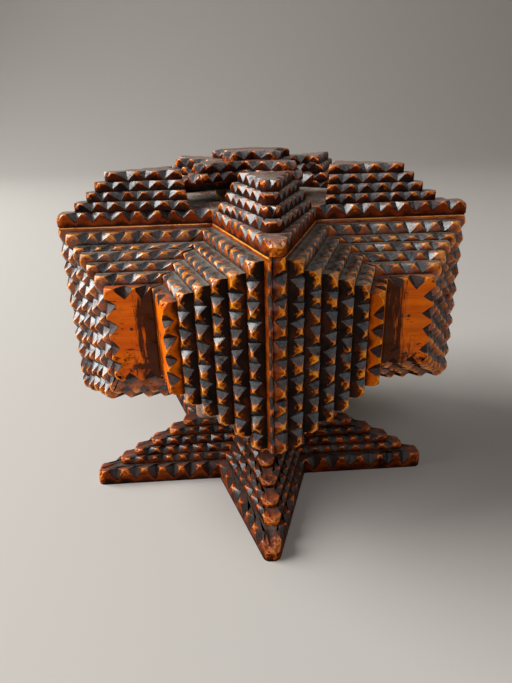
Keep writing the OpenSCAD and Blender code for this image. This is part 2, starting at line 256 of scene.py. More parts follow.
def carve(polys, facing, cuts, rng, inner=None, nick=None):
    """One board with notched and worn edges, as (points, quads, end faces, marks).

    polys holds the front outline, counter-clockwise as seen from the front, then the outlines further back.
    An edge's entry in cuts is its notches, or how rubbed it is where it has none. The surface is a grid.
    One way runs round the outline, through every edge's stations. The other way is a section: in from the
    notch on the front, round a quarter arc from front to side whose radius is the wear, with the notch's
    depth added along both, down the side, and on through the outlines behind.

    inner is a line on the front that lies UNDER inside the edge of the board on top. nick is an edge's
    number and the vector by which its side sinks where a notch is deepest. marks gives each point's wear,
    its notch's depth, how far it is round onto the side, and how near it is to a seam: on the front the
    distance from the edge over the ledge, and on the side from 0 at the arris to 1 at the back.
    """
    polys = [np.asarray(p, float) for p in polys]
    facing = np.asarray(facing, float)
    front, back = polys[0], polys[1]
    n = len(front)
    along = unit(np.roll(front, -1, 0) - front)
    inward = np.cross(facing, along)
    grid, marks = [], []
    for i in range(n):
        j = (i + 1) % n
        length = np.linalg.norm(front[j] - front[i])
        notched = isinstance(cuts[i], tuple)
        s, w, cut_off, slant = stations(length, cuts[i] if notched else None, rng)
        deep = w + cut_off
        on_face, on_side = cuts[i][:2] if notched else (0.0, 0.0)
        t = (s / length)[:, None]
        knots = np.linspace(0, length, max(2, int(length / EASE_RUN)) + 1)
        wear = EASE * np.interp(s, knots, rng.uniform(*EASE_RANGE, len(knots)))
        corner = front[i] + s[:, None] * along[i]
        into = np.tile(inward[i], (len(s), 1))
        turn = inward[i - 1] + inward[i]
        into[0] = turn / (1 + inward[i - 1] @ inward[i])
        if np.cross(along[i - 1], along[i]) @ facing > 0:
            corner[0] += CORNER_EASE * wear[0] * turn
        away = (back[i] - front[i]) * (1 - t) + (back[j] - front[j]) * t
        room = np.linalg.norm(away, axis=1)
        away = unit(away)
        sunk = np.zeros((len(s), 3))
        if nick is not None and i == nick[0]:
            sunk = deep[:, None] * nick[1]
        elif nick is not None and i == nick[0] + 1:
            sunk[0] = CORNER * nick[1]
        none = 0 * s
        inset = on_face * deep + wear + INNER_LINE
        faces = [on_face * deep * (1 - f) + wear * (1 - math.sin(f * math.pi / 2)) for f in ARC]
        sides = [on_side * deep * f + wear * (1 - math.cos(f * math.pi / 2)) for f in ARC]
        sides = [np.minimum(side, room - 2 * BACK_ROOM) for side in sides]
        last = np.minimum(on_side * deep + wear + SIDE_LINE, room - BACK_ROOM)
        rows, close = [], [none, none]
        if inner is not None:
            ledge = ((inner[i] + inner[j] - front[i] - front[j]) / 2) @ inward[i] - UNDER
            rows = [inner[i] * (1 - t) + inner[j] * t]
            close = [none + 1, np.minimum(inset / ledge, 1), np.minimum((inset - INNER_LINE) / ledge, 1)]
        for f, face, side in zip([0, *ARC, 1], [inset, *faces, none], [none, *sides, last]):
            aslant = (slant * w * (f - 0.5))[:, None] * along[i]
            rows.append(corner + aslant + face[:, None] * into + side[:, None] * away + f * sunk)
        for k, poly in enumerate(polys[1:]):
            rows.append(poly[i] * (1 - t) + poly[j] * t + (sunk if k == 0 else 0))
        rubbed = cuts[i][5] if notched else cuts[i]
        height = np.maximum(1 - w, 0) ** CREST_FALL
        crest = rubbed * (CREST_LEAST + (1 - CREST_LEAST) * height)
        facet = rubbed * np.clip(1 - w / FACET_DEPTH, 0, 1) * np.where(cut_off > 0, END_FACET, 1)
        glow = GLOW * rubbed * height if notched else none
        start = [none] if inner is None else [none, glow]
        behind = [none] * (len(polys) - 1)
        close += [close[-1] * (1 - f) for f in ARC[1:]] + [none]
        marks.append(np.stack([
            np.stack(start + [crest, facet, facet, facet, crest, glow] + behind),
            np.stack([none] * len(start) + [w] * len(ARC) + [none] + behind),
            np.stack([none] * len(start) + [none + f for f in [*ARC, 1]] + [none + 1] * len(behind)),
            np.stack(close + [none + 1] * len(behind))], -1))
        grid.append(np.stack(rows))
    grid, marks = np.concatenate(grid, 1), np.concatenate(marks, 1)
    rows, m = grid.shape[:2]
    k = np.arange(m)
    l = (k + 1) % m
    quads = np.concatenate([np.stack([r * m + k, (r + 1) * m + k, (r + 1) * m + l, r * m + l], 1)
                            for r in range(rows - 1)])
    ends = [np.arange(m), np.arange(m)[::-1] + (rows - 1) * m]
    return grid.reshape(-1, 3), quads, ends, marks.reshape(-1, 4)


def rounded(points, outline, radius, rng, corners=None):
    """Points of a board drawn in at its outline's convex corners, so that each corner becomes an arc.

    Seen from the arc's centre, a point between the directions square to the two edges is drawn in by the
    cosine of its angle from the nearer one, which turns the straight edges there into the arc.
    """
    step = np.roll(outline, -1, 0) - outline
    length = np.linalg.norm(step, axis=1)
    step = step / length[:, None]
    out = np.stack([step[:, 1], -step[:, 0]], 1)
    points = points.copy()
    for i in range(len(outline)) if corners is None else corners:
        one, two = out[i - 1], out[i]
        turn = math.atan2(one[0] * two[1] - one[1] * two[0], one @ two)
        if turn < LEAST_TURN:
            continue
        most = ROUND_SHARE * min(length[i - 1], length[i]) / math.tan(turn / 2)
        r = min(radius * rng.uniform(*ROUND_RANGE), most)
        centre = outline[i] - r * (one + two) / (1 + one @ two)
        d = points[:, :2] - centre
        angle = np.arctan2(one[0] * d[:, 1] - one[1] * d[:, 0], d @ one)
        between = (angle > 0) & (angle < turn)
        points[:, :2] = centre + d * np.where(between, np.cos(np.minimum(angle, turn - angle)), 1)[:, None]
    return points


def place(matrix, points):
    """Points moved by a 4 by 4 matrix."""
    return points @ matrix[:3, :3].T + matrix[:3, 3]


def turned(angle):
    """A turn about the upright axis, as a 4 by 4 matrix."""
    c, s = math.cos(angle), math.sin(angle)
    m = np.eye(4)
    m[:2, :2] = [[c, -s], [s, c]]
    return m


def moved(x, y, z=0.0):
    """A shift, as a 4 by 4 matrix."""
    m = np.eye(4)
    m[:3, 3] = x, y, z
    return m


def wall_frame(arm, side):
    """From a wall's own axes to the box's: turned from the valley's side, shifted to the valley, mirrored
    on side 1, and turned to its arm."""
    flip = np.diag([-1.0 if side else 1.0, 1, 1, 1])
    shift = moved(-VALLEY_R * math.sin(HALF_TURN), -VALLEY_R * math.cos(HALF_TURN))
    return turned(ARM_TURN * arm) @ flip @ shift @ turned(-ARM_TURN)


def seeded(name):
    """A random source that is always the same for one piece."""
    return np.random.default_rng(zlib.crc32(name.encode()))


def joined_faces(boards, flip, back_slot):
    """The faces of several boards in one mesh: all their corners, then for each face how many it has,
    whether it is an end face, and its material's number. Flipped faces run the other way round."""
    corners, sizes, flats, slots, base = [], [], [], [], 0
    for points, quads, ends, _ in boards:
        for face in [quads, *ends]:
            corners.append(((face[..., ::-1] if flip else face) + base).ravel())
        sizes += [np.full(len(quads), 4), np.array([len(end) for end in ends])]
        flats += [np.zeros(len(quads), bool), np.ones(len(ends), bool)]
        slots += [np.zeros(len(quads) + 1, int), np.array([back_slot])]
        base += len(points)
    return [np.concatenate(v) for v in (corners, sizes, flats, slots)]


def in_scene(name, data):
    """A new object in the scene."""
    thing = bpy.data.objects.new(name, data)
    bpy.context.scene.collection.objects.link(thing)
    return thing


def attach(mesh, name, node, body):
    """An object for a mesh, riding on its body, standing for its CAD node, which it hides."""
    piece = in_scene(name, mesh)
    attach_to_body(piece, body)
    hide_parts(node)


def make_piece(name, boards, matrix, node, body, materials):
    """One mesh from several carved boards, put in place.

    It keeps each point's place in its board's own axes, and an offset so that no two boards' grain is the
    same. Of two materials, the second one is for the boards' back faces.
    """
    own = np.concatenate([board[0] for board in boards])
    marks = np.concatenate([board[3] for board in boards])
    offsets = seeded(name).uniform(-GRAIN_AWAY, GRAIN_AWAY, (len(boards), 3))
    offsets = np.repeat(offsets, [len(board[0]) for board in boards], 0)
    flip = np.linalg.det(matrix[:3, :3]) < 0
    corners, sizes, flats, slots = joined_faces(boards, flip, len(materials) - 1)
    mesh = bpy.data.meshes.new(name)
    mesh.vertices.add(len(own))
    mesh.vertices.foreach_set("co", (place(matrix, own) * MM).astype(np.float32).ravel())
    mesh.loops.add(len(corners))
    mesh.loops.foreach_set("vertex_index", corners.astype(np.int32))
    mesh.polygons.add(len(sizes))
    mesh.polygons.foreach_set("loop_start", np.concatenate([[0], np.cumsum(sizes)[:-1]]).astype(np.int32))
    mesh.update(calc_edges=True)
    mesh.polygons.foreach_set("use_smooth", ~flats)
    for key, kind, field, values in (("carving", "FLOAT_COLOR", "color", marks),
                                     ("board_axes", "FLOAT_VECTOR", "vector", own * MM),
                                     ("board_offset", "FLOAT_VECTOR", "vector", offsets * MM)):
        layer = mesh.attributes.new(key, kind, "POINT")
        layer.data.foreach_set(field, values.astype(np.float32).ravel())
    mesh.polygons.foreach_set("material_index", slots.astype(np.int32))
    mesh.set_sharp_from_angle(angle=math.radians(SHARP_ANGLE))
    for material in materials:
        mesh.materials.append(material)
    attach(mesh, name, node, body)


def face_depth(step):
    """Depth of a notch on a face before the next board: the step less room, from least to full depth."""
    return max(LEAST_FACE, min(NOTCH_FACE, step - ROOM))


def star_cuts(outline, on_face, on_side, tips=True, pitch=PITCH):
    """The notches of a star's or an arm board's edges: they start at once in valleys and leave a block at
    other corners. Without notched tips, the short edges keep blocks at both ends too."""
    n = len(outline)
    step = np.roll(outline, -1, 0) - outline
    before = np.roll(step, 1, 0)
    valley = before[:, 0] * step[:, 1] - before[:, 1] * step[:, 0] < 0
    cuts = []
    for i in range(n):
        short = tips and np.linalg.norm(step[i]) < 2 * BLOCK + PITCH / 2
        start = FIRST if short or valley[i] else BLOCK
        stop = FIRST if short or valley[(i + 1) % n] else BLOCK
        cuts.append(cut(on_face, on_side, start, stop, pitch))
    return cuts


def jitter(outline, rng, size):
    """An outline whose corners are each moved a little, as hand-cut ones are."""
    return outline + rng.normal(0, size, outline.shape)


def slab(outline, z_face, z_back):
    """A board's outline at its face and again at its back."""
    return [lift(outline, z_face), lift(outline, z_back)]


def star_board(r, flat, z, t, on_face, on_side, rng, down=False, nxt=None, tips=True, pitch=PITCH):
    """A notched star board of radius r, tip flat and thickness t, with its underside at height z.

    Facing down, its outline runs the other way. nxt is the radius and tip flat of the board on its face.
    At each worn tip the face falls in a quarter of an ellipse.
    """
    arms = -math.pi / 2 + ARM_TURN * np.arange(5)
    ahead = np.stack([np.cos(arms), np.sin(arms)])
    outline = jitter(star(r, flat), rng, STAR_SPREAD)
    outline = plan = outline * np.minimum(r / (outline @ ahead).max(1), 1)[:, None]
    inner = star(nxt[0] - UNDER / math.sin(HALF_TIP), nxt[1]) if nxt else None
    if down:
        outline = outline[::-1]
        inner = inner[::-1] if nxt else None
    cuts = [PLAIN_RUB] * len(outline)
    if on_side:
        cuts = star_cuts(outline * [1, -1 if down else 1], on_face, on_side, tips, pitch)
    z_face, z_back = (z, z + t) if down else (z + t, z)
    inner = lift(inner, z_face) if nxt else None
    facing = DOWNWARD if down else UPWARD
    points, quads, ends, marks = carve(slab(outline, z_face, z_back), facing, cuts, rng, inner)
    points = rounded(points, plan, TIP_ROUND, rng)
    reach = (points[:, :2] @ ahead).max(1)
    near_tip = np.clip((reach - r + TIP_FALL) / TIP_FALL, 0, 1)
    fall = TIP_DROP * (1 - np.sqrt(1 - near_tip ** 2)) if on_side else 0
    points[:, 2] = z_back + (points[:, 2] - z_back) * (1 - fall)
    marks[:, 0] = np.maximum(marks[:, 0], TIP_WEAR * near_tip)
    return points, quads, ends, marks


def mitre_x(out):
    """Where a face meets its neighbour's boards, at a distance out: that over tan 54 degrees, and glue."""
    return out / math.tan(MITRE) + GLUE


def board_box(i, rise):
    """Board i's tip end, bottom and top, from the steps before it."""
    return FACE_L - TIP_CUT - TIP_STEP * i, BOX_Z + sum(rise[:i]), WALL_TOP - sum(TOP_STEPS[:i])


def rectangle(x0, x1, y, low, high):
    """A board's outline at one depth, counter-clockwise as seen from the front."""
    return np.array([[x0, y, low], [x1, y, low], [x1, y, high], [x0, y, high]])


def wall_board(i, rise, rng):
    """Board i of a wall's stack, notched at its bottom, tip end and top, with its mitred end left plain."""
    near, far = (i - 1) * BOARD_T + GLUE / 2, i * BOARD_T
    end, bottom, top = np.array(board_box(i, rise)) + rng.normal(0, BOARD_SPREAD, 3)
    front = rectangle(mitre_x(far), end, -far, bottom, top)
    back = rectangle(mitre_x(near), end, -near, bottom, top)
    faces, inner = [NOTCH_FACE] * 3, None
    if i < PANEL_NUMBER:
        faces = [face_depth(step) for step in (rise[i], TIP_STEP, TOP_STEPS[i])]
        end, bottom, top = board_box(i + 1, rise)
        inner = rectangle(mitre_x(far + BOARD_T) + UNDER, end - UNDER, -far, bottom + UNDER, top - UNDER)
    cuts = [cut(faces[0], NOTCH_EDGE, FIRST, BLOCK), cut(faces[1], NOTCH_EDGE, BLOCK, BLOCK),
            cut(faces[2], NOTCH_EDGE, BLOCK, FIRST, rubbed=TOP_RUB), 0.0]
    return carve([front, back], OUTWARD, cuts, rng, inner)


def wall(rng, share):
    """One wall: outer face, the line on the tip's flat where it meets its neighbour, then inner face.

    share is how much of the tip's flat it covers. Where that is little, its edge is only nicked.
    """
    tip = np.array([FACE_L - TIP_CUT, 0.0])
    mid = tip + (share - GLUE) * np.array([math.sin(HALF_TIP), math.cos(HALF_TIP)])
    inner_tip = FACE_L - WALL_T / math.tan(HALF_TIP) - GLUE
    outer, inner = (GLUE, tip[0], 0.0), (mitre_x(-WALL_T), inner_tip, WALL_T)
    middle = mitre_x(-mid[1]) + GLUE, mid[0], mid[1]
    polys = [rectangle(*line, BOX_Z, WALL_TOP) for line in (outer, middle, inner)]
    on_face, rubbed = (TIP_STEP - ROOM, WALL_RUB) if share > NICKED else (NICK_FACE, NICK_RUB)
    cuts = [PLAIN_RUB, cut(on_face, share - RIM, BLOCK, BLOCK, rubbed=rubbed), 1.0, 0.0]
    into_tip = TIP_SUNK * np.array([-math.cos(HALF_TIP), math.sin(HALF_TIP), 0])
    return carve(polys, OUTWARD, cuts, rng, nick=(1, into_tip))


def brad_heads(matrix, rise):
    """The two brads of a panel: for each a low dome on a short straight shank, as rings of points."""
    x = (mitre_x(PANEL_NUMBER * BOARD_T) + FACE_L - TIP_CUT - TIP_STEP * PANEL_NUMBER) / 2
    low, high = board_box(PANEL_NUMBER, rise)[1:]
    ring = 2 * math.pi * np.arange(BRAD_SIDES) / BRAD_SIDES
    heads = []
    for share in BRAD_AT:
        px = x + BRAD_R[:, None] * np.cos(ring)
        pz = low + share * (high - low) + BRAD_R[:, None] * np.sin(ring)
        py = -PANEL_NUMBER * BOARD_T - np.repeat(BRAD_RISE[:, None], BRAD_SIDES, 1)
        heads.append(place(matrix, np.stack([px, py, pz], -1).reshape(-1, 3)))
    return heads


# Finishes ------------------------

# What all the woods share: how patchy the wear is, the wood's specular level, its varnish coat's roughness
# and index of refraction, and the depth of the fine relief in metres. Then how noise is drawn out along
# each axis for fibres, pores and brushed streaks.
PATCHY, GLEAM, COAT_ROUGH, COAT_IOR, RELIEF = 0.8, 0.03, 0.21, 1.65, 0.0001
FIBRE_STRETCH, PORE_STRETCH, STREAK_STRETCH = (0.06, 1.0, 1.0), (0.3, 1.0, 1.0), (1.0, 1.0, 0.12)


def fill(tree, socket, value):
    """Links an input to another node's output, or gives it a value."""
    if isinstance(value, bpy.types.NodeSocket):
        tree.links.new(value, socket)
    else:
        socket.default_value = value


def group(name, inputs, outputs):
    """An empty shader group with the named sockets, its node tree and its two end nodes."""
    tree = bpy.data.node_groups.new(name, "ShaderNodeTree")
    for key, value in inputs.items():
        kind = "NodeSocketVector" if value is None else "NodeSocketFloat"
        socket = tree.interface.new_socket(name=key, in_out="INPUT", socket_type=kind)
        if value is not None:
            socket.default_value = value
    for key in outputs:
        tree.interface.new_socket(name=key, in_out="OUTPUT", socket_type="NodeSocketFloat")
    return tree, tree.nodes.new("NodeGroupInput").outputs, tree.nodes.new("NodeGroupOutput").inputs


def add(tree, kind, props=None, **links):
    """A shader node with its properties set and inputs filled; a key such as i2 means input number 2."""
    node = tree.nodes.new("ShaderNode" + kind)
    for key, value in (props or {}).items():
        setattr(node, key, value)
    for key, value in links.items():
        numbered = key[0] == "i" and key[1:].isdigit()
        fill(tree, node.inputs[int(key[1:]) if numbered else key.replace("_", " ")], value)
    return node


def maths(operation, a, b, clamp=False):
    """A Math node's result, in the node tree that the first socket among its values belongs to."""
    tree = (a if isinstance(a, bpy.types.NodeSocket) else b).id_data
    return add(tree, "Math", {"operation": operation, "use_clamp": clamp}, i0=a, i1=b).outputs[0]


# Two values multiplied, added, subtracted, and the larger of two.
times, plus, less, larger = (partial(maths, name) for name in ("MULTIPLY", "ADD", "SUBTRACT", "MAXIMUM"))


def stretched(vector, factors):
    """A vector multiplied by a factor along each axis."""
    return add(vector.id_data, "VectorMath", {"operation": "MULTIPLY"}, i0=vector, i1=factors).outputs[0]


def blend(factor, a, b):
    """Two colours mixed by a factor, each of them a socket or three numbers."""
    tree = factor.id_data
    node = add(tree, "Mix", {"data_type": "RGBA", "clamp_factor": True}, i0=factor)
    for socket, value in ((node.inputs[6], a), (node.inputs[7], b)):
        fill(tree, socket, (*value, 1) if isinstance(value, tuple) else value)
    return node.outputs[2]


def ramp(value, low, high, out_low=0.0, out_high=1.0):
    """A value mapped smoothly from one range to another and held at its ends."""
    return add(value.id_data, "MapRange", {"interpolation_type": "SMOOTHSTEP"}, Value=value,
               From_Min=low, From_Max=high, To_Min=out_low, To_Max=out_high).outputs[0]


def noise(coords, scale, detail=4.0, rough=0.6):
    """Noise on coordinates in metres."""
    tree = coords.id_data
    return add(tree, "TexNoise", Vector=coords, Scale=scale, Detail=detail, Roughness=rough).outputs[0]


def own_axes(tree):
    """A point's place in its board's own axes, and the same moved by the board's offset, in metres."""
    axes = add(tree, "Attribute", {"attribute_name": "board_axes"}).outputs["Vector"]
    offset = add(tree, "Attribute", {"attribute_name": "board_offset"}).outputs["Vector"]
    return axes, add(tree, "VectorMath", {"operation": "ADD"}, i0=axes, i1=offset).outputs[0]


def wear_group():
    """Rubbed corners: the carving's wear and two sizes of noise, above a limit that the amount lowers."""
    inputs = {"Coords": None, "Wear": 0.0, "Amount": 0.5, "Patchiness": 0.5}
    tree, given, result = group("rubbed_corners", inputs, ["Mask", "Heart"])
    fine = noise(given["Coords"], 650.0)
    broad = noise(given["Coords"], 75.0, detail=3.0, rough=0.55)
    push = less(times(plus(fine, broad), given["Patchiness"]), given["Patchiness"])
    level = plus(given["Wear"], times(push, 1.6))
    level = times(level, ramp(given["Wear"], 0.02, 0.3))
    limit = less(1.0, given["Amount"])
    tree.links.new(ramp(level, limit, plus(limit, 0.4)), result["Mask"])
    tree.links.new(ramp(level, plus(limit, 0.2), plus(limit, 0.65)), result["Heart"])
    return tree


def grain_group():
    """Wood grain: noise drawn out along one axis, as fine fibres, broad bands and short dark pores."""
    tree, given, result = group("wood_grain", {"Coords": None}, ["Fibre", "Bands", "Pores"])
    along = stretched(given["Coords"], FIBRE_STRETCH)
    short = stretched(given["Coords"], PORE_STRETCH)
    tree.links.new(noise(along, 1500.0), result["Fibre"])
    tree.links.new(noise(along, 220.0, detail=3.0, rough=0.5), result["Bands"])
    tree.links.new(ramp(noise(short, 750.0, detail=1.0, rough=0.5), 0.66, 0.74), result["Pores"])
    return tree


def grime_group():
    """Dark grime: over the notches' faces, over the side, towards the seams and in blotches, each by its
    own amount. The mask is one less the product of what each of them leaves clear."""
    tree, given, result = group("dark_grime", {
        "Coords": None, "Notch": 0.0, "Side": 0.0, "Seam": 0.0, "In notches": 0.9, "On side": 0.8,
        "In seams": 0.9, "Blotches": 0.5}, ["Mask"])
    coords = given["Coords"]
    uneven = less(noise(coords, 130.0), 0.5)
    notch = ramp(plus(given["Notch"], times(uneven, 0.5)), 0.04, 0.22)
    broad = ramp(noise(coords, 60.0, detail=3.0, rough=0.55), 0.36, 0.56)
    on_side = times(given["On side"], plus(0.8, times(broad, 0.2)))
    seam = ramp(plus(given["Seam"], times(uneven, 1.4)), 0.35, 0.95)
    blotch = ramp(noise(coords, 95.0, detail=5.0, rough=0.62), 0.46, 0.66)
    clear = 1.0
    for where, amount in ((notch, given["In notches"]), (ramp(given["Side"], 0.8, 1.0), on_side),
                          (seam, given["In seams"]), (blotch, given["Blotches"])):
        clear = times(clear, less(1.0, times(where, amount)))
    tree.links.new(less(1.0, clear, True), result["Mask"])
    return tree


def dust_and_sheen_group():
    """Settled dust, and a painted sky sheen, where the surface looks up: more towards the seams, in specks
    and patches, and a few specks elsewhere. The up-facing part lightens faces that look up as the sky's
    reflection would, besides marking dust. Level is 1 where the surface is level."""
    inputs = {"Coords": None, "Seam": 0.0, "Amount": 0.5}
    tree, given, result = group("dust_and_painted_sheen", inputs, ["Mask", "Level"])
    coords = given["Coords"]
    normal = add(tree, "NewGeometry").outputs["Normal"]
    up = add(tree, "SeparateXYZ", i0=normal).outputs[2]
    # Faces that look up take the mask: real dust, and painted sheen in place of the sky's reflection.
    facing = ramp(up, 0.1, 0.75)
    speck = ramp(noise(coords, 900.0, detail=5.0, rough=0.72), 0.4, 0.64)
    patch = ramp(noise(coords, 55.0, detail=3.0, rough=0.55), 0.34, 0.62)
    even = plus(times(speck, 0.45), times(patch, 0.35))
    seam = times(ramp(given["Seam"], 0.3, 1.0), 0.45)
    up_dust_and_sheen = times(facing, plus(even, seam, True))
    clinging = times(ramp(noise(coords, 1300.0, detail=6.0, rough=0.75), 0.56, 0.68), 0.1)
    tree.links.new(times(larger(up_dust_and_sheen, clinging), given["Amount"], True), result["Mask"])
    tree.links.new(ramp(up, 0.82, 0.97), result["Level"])
    return tree


WEAR, GRAIN, GRIME, DUST_SHEEN_GROUP = wear_group(), grain_group(), grime_group(), dust_and_sheen_group()


def use(tree, grouped, **values):
    """A node group placed in a material, with its inputs filled."""
    return add(tree, "Group", {"node_tree": grouped}, **values)


def smudges(tree, axes, coords):
    """Dark brushed smudges on a bare panel: streaks by its valley edge and patches by its lower edge."""
    x, _, z = add(tree, "SeparateXYZ", i0=axes).outputs[:3]
    left = mitre_x(PANEL_NUMBER * BOARD_T) * MM
    streak = noise(stretched(coords, STREAK_STRETCH), 560.0, detail=5.0, rough=0.72)
    broad = noise(coords, 75.0, detail=3.0, rough=0.5)
    near = ramp(x, left, left + 0.017, 0.34, 0.0)
    level = plus(times(streak, 0.75), times(broad, 0.25))
    valley = ramp(plus(level, near), 0.62, 0.76)
    low = ramp(z, BOX_Z * MM + 0.026, BOX_Z * MM + 0.038, 0.16, 0.0)
    low = plus(low, times(low, times(near, 4.0)))
    below = ramp(plus(noise(coords, 260.0, detail=5.0, rough=0.7), low), 0.64, 0.80)
    return times(larger(valley, below), 0.92)


def dust_and_light_by_reach(tree, axes, near, far):
    """How much of the dust and painted sheen mask there is: one amount near the board's middle and another
    far from it.
    """
    level = stretched(axes, (1.0, 1.0, 0.0))
    reach = add(tree, "VectorMath", {"operation": "LENGTH"}, i0=level).outputs["Value"]
    return ramp(reach, 0.038, 0.052, near, far)


def wood_colour(coords, grain, varnish, patina, grime):
    """Varnished wood before wear and dust: two tones in bands, darker fibres and pores, then grime."""
    base = blend(ramp(grain["Bands"], 0.35, 0.65), *varnish)
    darker = tuple(0.55 * c for c in varnish[0])
    base = blend(ramp(grain["Fibre"], 0.48, 0.72, 0.0, 0.45), base, darker)
    base = blend(times(grain["Pores"], 0.8), base, patina[0])
    dark = blend(ramp(noise(coords, 110.0), 0.38, 0.66), *patina)
    return blend(grime, base, dark)


def surface(tree, shader, coords, fibre, on_side, dust_sheen, polish, rough):
    """The varnish coat, in patches, dulled where the dust and painted sheen lie and on the sides, and the
    wood's gloss and relief.
    """
    shine = ramp(noise(coords, 150.0), 0.34, 0.52, 0.2, 1.0)
    shine = times(shine, ramp(on_side, 0.8, 1.0, polish, 0.05 * polish))
    shine = times(shine, less(1.0, times(dust_sheen, 0.5)))
    tree.links.new(shine, shader.inputs["Coat Weight"])
    shader.inputs["Coat Roughness"].default_value = COAT_ROUGH
    shader.inputs["Coat IOR"].default_value = COAT_IOR
    shader.inputs["Specular IOR Level"].default_value = GLEAM
    gloss = ramp(noise(coords, 240.0), 0.3, 0.7, *rough)
    tree.links.new(plus(gloss, times(dust_sheen, 0.35), True), shader.inputs["Roughness"])
    height = plus(times(fibre, 0.6), noise(coords, 1400.0))
    relief = add(tree, "Bump", Strength=0.5, Distance=RELIEF, Height=height)
    tree.links.new(relief.outputs[0], shader.inputs["Normal"])


def new_material(name):
    """A new material, its node tree and its shader."""
    material = bpy.data.materials.new(name)
    material.use_nodes = True
    return material, material.node_tree, material.node_tree.nodes["Principled BSDF"]


# Pairs of colours that a mask moves between: grime, wood rubbed bare, and dust mixed with painted sky sheen.
SOOT = (0.0025, 0.0017, 0.0013), (0.013, 0.005, 0.0022)
GOLD = (0.58, 0.118, 0.002), (0.92, 0.34, 0.010)
# The bluish grey on faces that slope up is painted sky sheen as well as dust; the warmer grey is dust on
# level faces.
DUST_AND_SKY_SHEEN = (0.19, 0.193, 0.212), (0.27, 0.25, 0.215)


def finish_wood(name, varnish, wear, dust, side, blotches, patina=SOOT, worn=GOLD, dust_and_sky_sheen=DUST_AND_SKY_SHEEN, notches=0.92,
                seams=0.9, rough=(0.4, 0.6), polish=1.0, smudged=False):
    """Old varnished wood: orange-brown varnish over grain, dark grime in the notches, on the sides and in
    the seams, corners rubbed bright, and on what looks up dust together with a painted sky sheen, bluish on
    sloping faces. The dust argument is the amount of that mask; given as a pair it is its amount near the
    board's middle and far from it."""
    material, tree, shader = new_material(name)
    mark = add(tree, "Attribute", {"attribute_name": "carving"}).outputs
    rubbed, notch, on_side = add(tree, "SeparateColor", i0=mark["Color"]).outputs[:3]
    axes, coords = own_axes(tree)
    grain = use(tree, GRAIN, Coords=coords).outputs
    bare = use(tree, WEAR, Coords=coords, Wear=rubbed, Amount=wear, Patchiness=PATCHY).outputs
    grime = use(tree, GRIME, Coords=coords, Notch=notch, Side=on_side, Seam=mark["Alpha"],
                In_notches=notches, On_side=side, In_seams=seams, Blotches=blotches).outputs[0]
    if smudged:
        grime = larger(grime, smudges(tree, axes, coords))
    if isinstance(dust, tuple):
        dust = dust_and_light_by_reach(tree, axes, *dust)
    dust_sheen = use(tree, DUST_SHEEN_GROUP, Coords=coords, Seam=mark["Alpha"], Amount=dust).outputs
    base = wood_colour(coords, grain, varnish, patina, grime)
    warm = blend(bare["Heart"], *worn)
    warm = blend(ramp(grain["Fibre"], 0.5, 0.75, 0.0, 0.35), warm, varnish[0])
    colour = blend(bare["Mask"], base, warm)
    # Dust with painted sky sheen over what looks up.
    colour = blend(dust_sheen["Mask"], colour, blend(dust_sheen["Level"], *dust_and_sky_sheen))
    tree.links.new(colour, shader.inputs["Base Color"])
    surface(tree, shader, coords, grain["Fibre"], on_side, dust_sheen["Mask"], polish, rough)
    return material


def finish_metal():
    """Dull dark steel, with rust where noise is high."""
    material, tree, shader = new_material("dull_steel")
    coords = add(tree, "TexCoord").outputs["Object"]
    rust = ramp(noise(coords, 900.0), 0.45, 0.65)
    tree.links.new(blend(rust, (0.03, 0.028, 0.026), (0.07, 0.03, 0.015)), shader.inputs["Base Color"])
    shader.inputs["Metallic"].default_value = 0.6
    tree.links.new(plus(0.4, times(rust, 0.3)), shader.inputs["Roughness"])
    return material


# The boards stacked on the walls, and the walls themselves between them.
CARVED = finish_wood("stained_carving", ((0.20, 0.028, 0.001), (0.40, 0.074, 0.001)),
                     wear=0.62, dust=0.85, side=0.98, blotches=0.75, notches=0.97)
WALL = finish_wood("stained_walls", ((0.22, 0.031, 0.001), (0.42, 0.078, 0.001)),
                   wear=0.60, dust=0.7, side=0.15, blotches=0.5, notches=0.97)
# The bare outer panels, lighter and less polished.
PANEL = finish_wood("amber_panel", ((0.70, 0.110, 0.0004), (0.88, 0.172, 0.0008)),
                    wear=0.45, dust=0.4, side=0.3, blotches=0.10, notches=0.97, rough=(0.4, 0.55),
                    polish=0.14, smudged=True)
# The lid's stacks and grip, whose facets carry extra dust and painted sky sheen, and its lowest board, which
# is dustier between the stacks. On that board the paler level colour and the larger amount near the middle
# are real dust and also painted light that lifts the shade under the grip.
LID = finish_wood("dust_and_sheen_lid", ((0.11, 0.012, 0.001), (0.25, 0.036, 0.002)),
                  worn=((0.54, 0.092, 0.003), (0.90, 0.28, 0.02)),
                  dust_and_sky_sheen=((0.19, 0.188, 0.195), (0.28, 0.26, 0.225)),
                  wear=0.56, dust=1.2, side=0.75, blotches=1.0)
LID_TOP_WOOD = finish_wood("lid_board_dust_sheen_and_light", ((0.19, 0.022, 0.001), (0.34, 0.052, 0.003)),
                           worn=((0.52, 0.100, 0.004), (0.88, 0.32, 0.03)),
                           dust_and_sky_sheen=(DUST_AND_SKY_SHEEN[0], (0.40, 0.39, 0.34)),
                           wear=0.55, dust=(1.9, 0.7), side=0.12, blotches=0.5)
# The foot and the boards under the box, redder and darker.
FOOT = finish_wood("red_brown_foot", ((0.14, 0.017, 0.001), (0.31, 0.048, 0.003)),
                   worn=((0.48, 0.085, 0.005), (0.80, 0.23, 0.02)),
                   dust_and_sky_sheen=((0.08, 0.08, 0.083), (0.13, 0.12, 0.11)),
                   wear=0.54, dust=0.55, side=0.3, blotches=1.0, polish=0.65)
